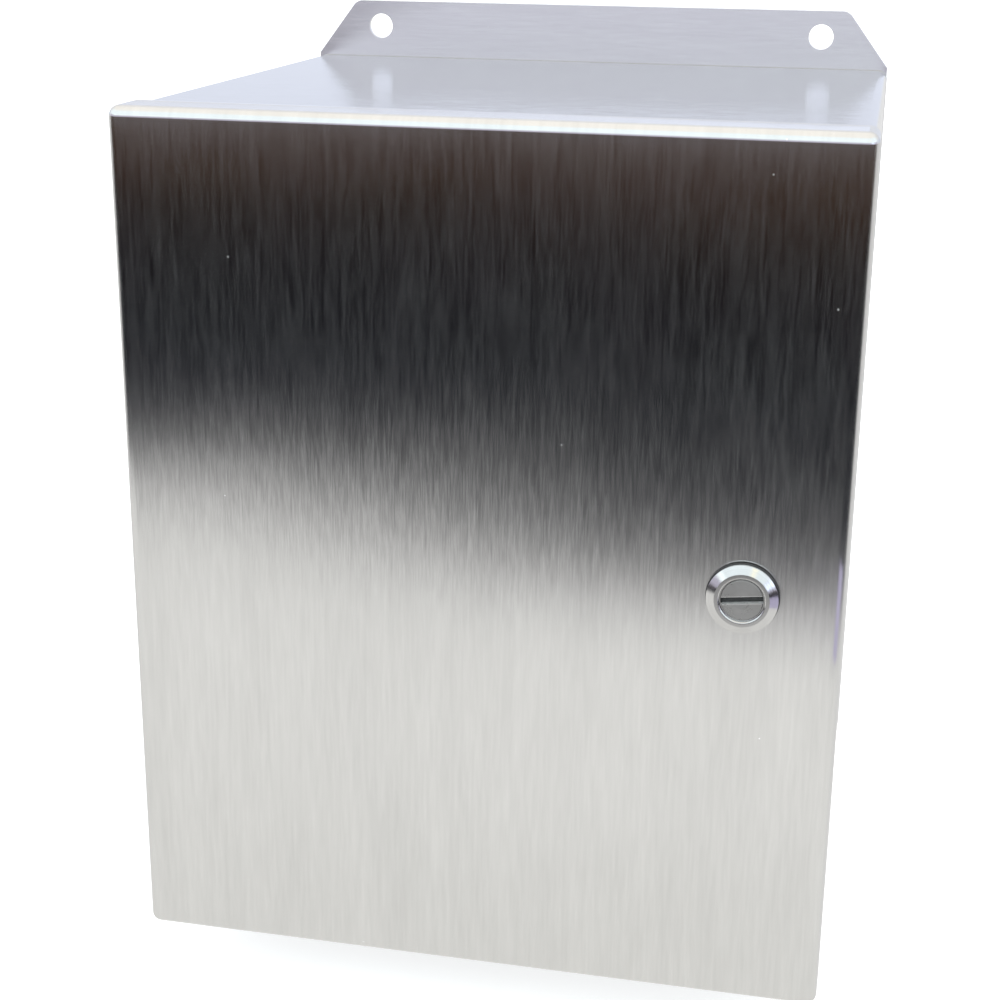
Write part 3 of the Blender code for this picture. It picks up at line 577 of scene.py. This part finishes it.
def refine(name, smooth, bevel):
    """Welds a CAD node's facets, rounds its sharp edges and smooths its curved faces."""
    obj = bpy.data.objects[name]
    weld = obj.modifiers.new("Weld", "WELD")
    weld.merge_threshold = WELD_REACH
    flat = obj.modifiers.new("Flat", "DECIMATE")
    flat.decimate_type = "DISSOLVE"
    flat.angle_limit = FLAT_ANGLE
    if bevel:
        rounder = obj.modifiers.new("Edge", "BEVEL")
        rounder.width = bevel
        rounder.segments = BEVEL_SEGMENTS
        rounder.limit_method = "ANGLE"
        rounder.angle_limit = BEVEL_ANGLE
        rounder.use_clamp_overlap = True
    nodes = obj.modifiers.new("Smooth", "NODES")
    nodes.node_group = smooth
    weight = obj.modifiers.new("Weight", "WEIGHTED_NORMAL")
    weight.weight = FACE_WEIGHT
    weight.keep_sharp = True


# Added pieces


def sweep(bm, rings, loop):
    """Joins rings of points into a skin. A loop closes on its first ring, and any other skin
    is capped at its two ends."""
    made = [[bm.verts.new(point) for point in ring] for ring in rings]
    following = made[1:] + made[:1] if loop else made[1:]
    for first, second in zip(made, following):
        for index in range(len(first)):
            after = (index + 1) % len(first)
            bm.faces.new((first[index], first[after], second[after], second[index]))
    if not loop:
        bm.faces.new(made[0])
        bm.faces.new(made[-1])


def finish_piece(name, bm, body, material, replaced=None):
    """Makes bm a piece that rides on a body, in place of a CAD node where one is given."""
    bmesh.ops.recalc_face_normals(bm, faces=bm.faces)
    mesh = bpy.data.meshes.new(name)
    bm.to_mesh(mesh)
    bm.free()
    mesh.shade_smooth()
    mesh.set_sharp_from_angle(angle=PIECE_SMOOTH_ANGLE)
    mesh.materials.append(material)
    piece = bpy.data.objects.new(name, mesh)
    bpy.context.scene.collection.objects.link(piece)
    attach(piece, body)
    if replaced:
        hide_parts(replaced)


def node_corners(name):
    return tuple(Vector(corner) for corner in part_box(name))


def make_thread(name, body, centre, start, end, core, pitch, material):
    """The raised thread of a stud along Y, which runs out at both of its ends."""
    turns = (end - start) / pitch
    count = int(turns * THREAD_STEPS)
    rings = []
    for step in range(count + 1):
        angle = 2 * math.pi * step / THREAD_STEPS
        fade = min(1.0, step / THREAD_STEPS, (count - step) / THREAD_STEPS)
        root = core - THREAD_BITE
        crest = root + (THREAD_BITE + THREAD_RISE) * fade + THREAD_LEAST
        half_root = pitch * (THREAD_END_ROOT + THREAD_ROOT * fade)
        half_crest = pitch * THREAD_CREST
        section = (
            (root, -half_root),
            (crest, -half_crest),
            (crest, half_crest),
            (root, half_root),
        )
        y = start + pitch * step / THREAD_STEPS
        ring = []
        for radius, along in section:
            x = centre[0] + radius * math.cos(angle)
            ring.append((x, y + along, centre[1] + radius * math.sin(angle)))
        rings.append(ring)
    bm = bmesh.new()
    sweep(bm, rings, loop=False)
    finish_piece(name, bm, body, material)


def make_ring(name, body, centre, section, material, replaced=None):
    """A ring about Y, from (radius, y) section points."""
    rings = []
    for step in range(RING_STEPS):
        angle = 2 * math.pi * step / RING_STEPS
        ring = []
        for radius, y in section:
            x = centre[0] + radius * math.cos(angle)
            ring.append((x, y, centre[1] + radius * math.sin(angle)))
        rings.append(ring)
    bm = bmesh.new()
    sweep(bm, rings, loop=True)
    finish_piece(name, bm, body, material, replaced)


def rounded_path(half_x, half_z, radius):
    """Points round a rectangle with rounded corners, each with its way outward."""
    path = []
    for corner, (side_x, side_z) in enumerate(((1, 1), (-1, 1), (-1, -1), (1, -1))):
        for step in range(CORNER_STEPS + 1):
            angle = math.radians(90) * (corner + step / CORNER_STEPS)
            out = Vector((math.cos(angle), 0, math.sin(angle)))
            middle = Vector((side_x * (half_x - radius), 0, side_z * (half_z - radius)))
            path.append((middle + out * radius, out))
    return path


def make_frame(name, body, centre, path, section, material, replaced=None):
    """A closed strip along a path, from (outward, y) section points."""
    rings = []
    for place, out in path:
        rings.append([centre + place + out * reach + Vector((0, y, 0)) for reach, y in section])
    bm = bmesh.new()
    sweep(bm, rings, loop=True)
    finish_piece(name, bm, body, material, replaced)


def make_gasket(material):
    """A bead of poured foam with a domed back, dented by the body's collar."""
    low, high = node_corners("door_gasket")
    half_width = GASKET_WIDTH / 2
    centre = Vector(((low.x + high.x) / 2, 0, (low.z + high.z) / 2))
    path = rounded_path(
        (high.x - low.x) / 2 - half_width,
        (high.z - low.z) / 2 - half_width,
        half_width + GASKET_CORNER,
    )
    foot = low.y - GASKET_FOOT
    height = high.y - foot
    section = [(-half_width, foot), (half_width, foot)]
    for step in range(GASKET_STEPS + 1):
        across = 1 - 2 * step / GASKET_STEPS
        dome = (1 - across**4) ** 0.5
        dent = GASKET_DENT * math.exp(-((across / GASKET_DENT_WIDTH) ** 2))
        rise = height * max(dome, GASKET_SHOULDER)
        section.append((half_width * across, foot + rise - dent * dome))
    make_frame("foam_gasket", "door", centre, path, section, material, "door_gasket")


def make_seals(material):
    """The ring under the bezel, with rounded rims, and the round-section ring on the shaft."""
    low, high = node_corners("latch_seal")
    outer = (high.x - low.x) / 2
    centre = ((low.x + high.x) / 2, (low.z + high.z) / 2)
    half = (high.y - low.y) / 2
    middle = (low.y + high.y) / 2
    section = [(outer - SEAL_WIDTH, low.y), (outer - SEAL_WIDTH, high.y)]
    for step in range(SEAL_STEPS + 1):
        angle = math.radians(90 - 180 * step / SEAL_STEPS)
        section.append((outer - half + half * math.cos(angle), middle + half * math.sin(angle)))
    make_ring("bezel_seal", "door", centre, section, material, "latch_seal")
    low, high = node_corners("latch_o_ring")
    wire = (high.y - low.y) / 2
    reach = (high.x - low.x) / 2 - wire
    middle = (low.y + high.y) / 2
    section = []
    for step in range(O_RING_SIDES):
        angle = 2 * math.pi * step / O_RING_SIDES
        section.append((reach + wire * math.cos(angle), middle + wire * math.sin(angle)))
    make_ring("shaft_o_ring", "latch", centre, section, material, "latch_o_ring")


def make_liner(material):
    """A thin ring in the clearance between the bezel and the slotted insert."""
    low, high = node_corners("latch_insert")
    inner = (high.x - low.x) / 2 + LINER_GAP
    centre = ((low.x + high.x) / 2, (low.z + high.z) / 2)
    front = low.y + LINER_SINK
    rear = front + LINER_DEPTH
    outer = inner + LINER_WALL
    section = [(inner, front), (outer, front), (outer, rear), (inner, rear)]
    make_ring("bezel_liner", "door", centre, section, material)


def make_weld(material):
    """The ground weld that closes the seam between the walls and the back sheet."""
    low, high = node_corners("body_shell")
    centre = Vector(((low.x + high.x) / 2, 0, (low.z + high.z) / 2))
    path = rounded_path((high.x - low.x) / 2, (high.z - low.z) / 2, BODY_RADIUS)
    seam_y = (high.y + node_corners("back_panel")[0].y) / 2
    section = []
    for step in range(WELD_SIDES):
        angle = 2 * math.pi * step / WELD_SIDES
        out = WELD_RADIUS * (math.cos(angle) - WELD_SINK)
        section.append((out, seam_y + WELD_RADIUS * math.sin(angle)))
    make_frame("body_weld", "enclosure", centre, path, section, material)


def make_threads(material):
    """Threads on the studs and on the latch's barrel, each in the gap that its nut leaves."""
    for place in ("top_left", "top_right", "bottom_left", "bottom_right"):
        low, high = node_corners("panel_stud_" + place)
        centre = ((low.x + high.x) / 2, (low.z + high.z) / 2)
        start = low.y + THREAD_END
        end = high.y - COLLAR_LENGTH - THREAD_END
        name = "panel_thread_" + place
        make_thread(name, "enclosure", centre, start, end, STUD_RADIUS, STUD_PITCH, material)
    for body, owner in (("enclosure", "body"), ("door", "door")):
        low, high = node_corners(owner + "_bonding_stud")
        centre = ((low.x + high.x) / 2, (low.z + high.z) / 2)
        radius = (high.x - low.x) / 2
        start = low.y + THREAD_END
        end = high.y - THREAD_END
        name = owner + "_bonding_thread"
        make_thread(name, body, centre, start, end, radius, STUD_PITCH, material)
    low, high = node_corners("latch_housing")
    centre = ((low.x + high.x) / 2, (low.z + high.z) / 2)
    start = node_corners("latch_washer")[0].y
    end = high.y - THREAD_END
    name = "latch_barrel_thread"
    make_thread(name, "door", centre, start, end, BARREL_RADIUS, BARREL_PITCH, material)


# Stage


def add_camera():
    pitch = Matrix.Rotation(CAMERA_PITCH, 3, "X")
    yaw = Matrix.Rotation(CAMERA_YAW, 3, "Y")
    roll = Matrix.Rotation(CAMERA_ROLL, 3, "Z")
    level = Matrix(((1, 0, 0), (0, 0, -1), (0, 1, 0)))
    rows = roll @ pitch @ yaw @ level
    turn = Matrix((rows[0], -rows[1], -rows[2])).transposed().to_4x4()
    data = bpy.data.cameras.new("camera")
    data.lens = CAMERA_LENS
    data.clip_start = CAMERA_CLIP
    camera = bpy.data.objects.new("camera", data)
    camera.matrix_world = Matrix.Translation(CAMERA_PLACE) @ turn
    bpy.context.scene.collection.objects.link(camera)
    bpy.context.scene.camera = camera


def stage_mesh(name, points, faces, material):
    mesh = bpy.data.meshes.new(name)
    mesh.from_pydata(points, [], faces)
    mesh.materials.append(material)
    obj = bpy.data.objects.new(name, mesh)
    bpy.context.scene.collection.objects.link(obj)
    return obj


def add_floor(z):
    material, tree, shader = new_material("floor_paper")
    point = object_point(tree)
    shade = noise(tree, point, (3, 3, 3), 2.0, 0.5, 20.0)
    base = mixed(tree, shade, (0.76, 0.76, 0.76, 1), (0.80, 0.80, 0.80, 1))
    tree.links.new(base, shader.inputs["Base Color"])
    shader.inputs["Roughness"].default_value = 0.9
    shader.inputs["Specular IOR Level"].default_value = 0.0
    shader.inputs["Emission Color"].default_value = (1, 1, 1, 1)
    shader.inputs["Emission Strength"].default_value = FLOOR_GLOW
    half = FLOOR_HALF
    corners = [(-half, -half, z), (half, -half, z), (half, half, z), (-half, half, z)]
    floor = stage_mesh("floor", corners, [(0, 1, 2, 3)], material)
    floor.visible_glossy = False


def glow_material(name):
    """A material that only gives light."""
    material = bpy.data.materials.new(name)
    material.use_nodes = True
    tree = material.node_tree
    tree.nodes.clear()
    glow = tree.nodes.new("ShaderNodeEmission")
    out = tree.nodes.new("ShaderNodeOutputMaterial")
    tree.links.new(glow.outputs[0], out.inputs[0])
    return material, tree, glow


def reflection_only(obj):
    """Shows an object in reflections and nowhere else."""
    obj.visible_camera = False
    obj.visible_diffuse = False
    obj.visible_shadow = False
    obj.visible_transmission = False
    obj.visible_volume_scatter = False


def add_card(z, door_y):
    """A card that only reflections see. It lies in front of the door and turns up into a wall:
    white near the door, then dark, then brown, and pale again on the wall."""
    material, tree, glow = glow_material("reflection_card")
    parts = separated(tree, object_point(tree))
    side = maths(tree, "SUBTRACT", parts["X"], CARD_CENTRE_X)
    away = maths(tree, "SUBTRACT", door_y, parts["Y"])
    square = maths(tree, "MULTIPLY", maths(tree, "MULTIPLY", side, side), CARD_SQUASH)
    square = maths(tree, "MULTIPLY_ADD", away, away, square)
    reach = maths(tree, "SQRT", square)
    lean = between(tree, parts["X"], *CARD_LEAN_X)
    reach = maths(tree, "ADD", remap(tree, lean, *CARD_LEAN), reach)
    rise = maths(tree, "SUBTRACT", parts["Z"], z)
    reach = maths(tree, "ADD", reach, rise)
    furthest = CARD_TONES[-1][0]
    ramp = add_node(tree, "ShaderNodeValToRGB", {0: maths(tree, "DIVIDE", reach, furthest)})
    elements = ramp.color_ramp.elements
    while len(elements) > 1:
        elements.remove(elements[-1])
    elements[0].position = 0.0
    elements[0].color = (*CARD_TONES[0][1], 1)
    for distance, colour in CARD_TONES[1:]:
        element = elements.new(distance / furthest)
        element.color = (*colour, 1)
    tree.links.new(ramp.outputs[0], glow.inputs["Color"])
    flat = CARD_RADIUS - CARD_BEND
    profile = [(0.0, z), (flat, z)]
    for step in range(1, CARD_BEND_STEPS + 1):
        turn = math.radians(90) * step / CARD_BEND_STEPS
        height = z + CARD_BEND - CARD_BEND * math.cos(turn)
        profile.append((flat + CARD_BEND * math.sin(turn), height))
    profile.append((CARD_RADIUS, z + CARD_HEIGHT))
    points = []
    for step in range(CARD_STEPS + 1):
        turn = math.radians(CARD_HALF_TURN * (2 * step / CARD_STEPS - 1))
        for radius, height in profile:
            x = CARD_CENTRE_X + radius * math.sin(turn)
            points.append((x, door_y + CARD_BEHIND - radius * math.cos(turn), height))
    row = len(profile)
    faces = []
    for step in range(CARD_STEPS):
        for index in range(row - 1):
            first = step * row + index
            faces.append((first, first + 1, first + row + 1, first + row))
    card = stage_mesh("reflection_card", points, faces, material)
    reflection_only(card)


def add_window(name, latch, turn, lift, distance, width, height, colour):
    """A bright panel that only reflections see, facing the latch."""
    material, _, glow = glow_material(name)
    glow.inputs["Color"].default_value = (*colour, 1)
    turn = math.radians(turn)
    lift = math.radians(lift)
    level = Vector((math.sin(turn), -math.cos(turn), 0)) * math.cos(lift)
    way = level + Vector((0, 0, math.sin(lift)))
    middle = latch + way * distance
    across = way.cross(Vector((0, 0, 1))).normalized() * width / 2
    up = across.cross(way).normalized() * height / 2
    points = [
        middle - across - up,
        middle + across - up,
        middle + across + up,
        middle - across + up,
    ]
    panel = stage_mesh(name, points, [(0, 1, 2, 3)], material)
    reflection_only(panel)


def add_light():
    """A softbox overhead, which reflections don't see."""
    data = bpy.data.lights.new("top_softbox", "AREA")
    data.shape = "SQUARE"
    data.size = LIGHT_SIDE
    data.energy = LIGHT_POWER
    light = bpy.data.objects.new("top_softbox", data)
    turn = (Vector(LIGHT_TARGET) - Vector(LIGHT_PLACE)).to_track_quat("-Z", "Y")
    light.matrix_world = Matrix.Translation(LIGHT_PLACE) @ turn.to_matrix().to_4x4()
    light.visible_camera = False
    light.visible_glossy = False
    bpy.context.scene.collection.objects.link(light)


def add_world():
    """A studio sky, white and cool in front, cream overhead and pale behind. The camera itself
    sees it white."""
    world = bpy.data.worlds.new("studio")
    bpy.context.scene.world = world
    world.use_nodes = True
    tree = world.node_tree
    way = add_node(tree, "ShaderNodeTexCoord").outputs["Generated"]
    parts = separated(tree, way)
    behind = between(tree, parts["Y"], *BLEND_BEHIND)
    lifted = between(tree, parts["Z"], *BLEND_BACK)
    back = mixed(tree, lifted, (*BACK_LOW, 1), (*BACK_HIGH, 1))
    sky = mixed(tree, behind, (*FRONT_SKY, 1), back)
    overhead = between(tree, parts["Z"], *BLEND_OVERHEAD)
    sky = mixed(tree, overhead, sky, (*OVERHEAD, 1))
    above = between(tree, parts["Z"], *BLEND_UNDER)
    shown = mixed(tree, above, (*UNDER, 1), sky)
    direct = add_node(tree, "ShaderNodeLightPath").outputs["Is Camera Ray"]
    shown = mixed(tree, direct, shown, (1, 1, 1, 1))
    tree.links.new(shown, tree.nodes["Background"].inputs["Color"])


# Make it


def finish_nodes(latch):
    """Refines every CAD node and gives it its finish."""
    smooth = smooth_group()
    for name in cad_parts:
        refine(name, smooth, EDGES.get(name, 0.0))

    door_steel = brushed_steel(
        "door_brushed_steel",
        "upright",
        colour=(0.66, 0.655, 0.645),
        roughness=0.185,
        anisotropy=1.0,
    )
    back_steel = brushed_steel(
        "back_brushed_steel",
        "level",
        colour=(0.72, 0.705, 0.715),
        roughness=0.26,
        anisotropy=0.6,
        strength=0.45,
        seed=20.0,
    )
    hinge_steel = brushed_steel(
        "hinge_brushed_steel",
        "upright",
        colour=(0.62, 0.61, 0.60),
        roughness=0.34,
        anisotropy=0.5,
        strength=0.7,
        seed=30.0,
    )
    insert_steel = turned_steel(
        "insert_turned_steel",
        Vector((latch.x, node_corners("latch_insert")[0].y, latch.z)),
        FRONTWARD,
        colour=(0.44, 0.44, 0.435),
        roughness=0.28,
        anisotropy=0.5,
        seed=5.0,
        slot=((math.sin(SLOT_TILT), 0, math.cos(SLOT_TILT)), SLOT_WIDTH / 2, SLOT_DEPTH),
    )
    give(door_steel, "door_shell")
    give(back_steel, "back_panel")
    give(hinge_steel, "body_hinge_leaf", "door_hinge_leaf")
    give(insert_steel, "latch_insert")
    give(white_enamel("white_enamel_finish"), "mounting_panel")

    fixings = [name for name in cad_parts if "_washer" in name or "_nut" in name]
    give(zinc_plate("zinc_plate_finish"), "latch_cam", "cam_screw", *fixings)
    studs = [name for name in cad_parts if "_stud" in name]
    for name in ["hinge_pin"] + studs:
        low, high = node_corners(name)
        axis = (0, 0, 1) if name == "hinge_pin" else (0, 1, 0)
        steel = turned_steel(
            name + "_steel",
            (low + high) / 2,
            axis,
            colour=(0.66, 0.655, 0.645),
            roughness=0.24,
            anisotropy=0.4,
        )
        give(steel, name)


def add_pieces(latch):
    """Makes the pieces that CAD leaves out or leaves plain, with the finishes they share."""
    body_steel = brushed_steel(
        "body_brushed_steel",
        "around",
        colour=(0.47, 0.47, 0.475),
        roughness=0.13,
        anisotropy=0.0,
        strength=0.7,
        seed=10.0,
    )
    latch_steel = turned_steel(
        "latch_turned_steel",
        latch,
        FRONTWARD,
        colour=(0.58, 0.575, 0.57),
        roughness=0.17,
        anisotropy=0.4,
    )
    thread_steel = turned_steel(
        "thread_steel",
        (0, 0, 0),
        FRONTWARD,
        colour=(0.62, 0.615, 0.61),
        roughness=0.26,
        anisotropy=0.2,
        seed=9.0,
    )
    rubber = black_rubber("black_rubber_finish", shine=0.60, dull=0.85)
    seal_rubber = black_rubber("seal_rubber_finish", shine=0.28, dull=0.5)
    give(body_steel, "body_shell")
    give(latch_steel, "latch_housing")
    give(rubber, "door_gasket", "latch_seal", "latch_o_ring")
    make_gasket(rubber)
    make_seals(seal_rubber)
    make_liner(latch_steel)
    make_weld(body_steel)
    make_threads(thread_steel)


def set_stage(latch):
    """Adds the camera, the floor, the sky and what the metal reflects."""
    floor_z = CAD_BOUNDS[0][2]
    add_camera()
    add_floor(floor_z - FLOOR_GAP)
    add_card(floor_z, node_corners("door_shell")[0].y)
    for name, settings in WINDOWS.items():
        add_window(name, latch, *settings)
    add_world()
    add_light()
    bpy.context.scene.view_settings.view_transform = "Standard"


latch_corners = node_corners("latch_housing")
latch_middle = (latch_corners[0] + latch_corners[1]) / 2
finish_nodes(latch_middle)
add_pieces(latch_middle)
set_stage(latch_middle)
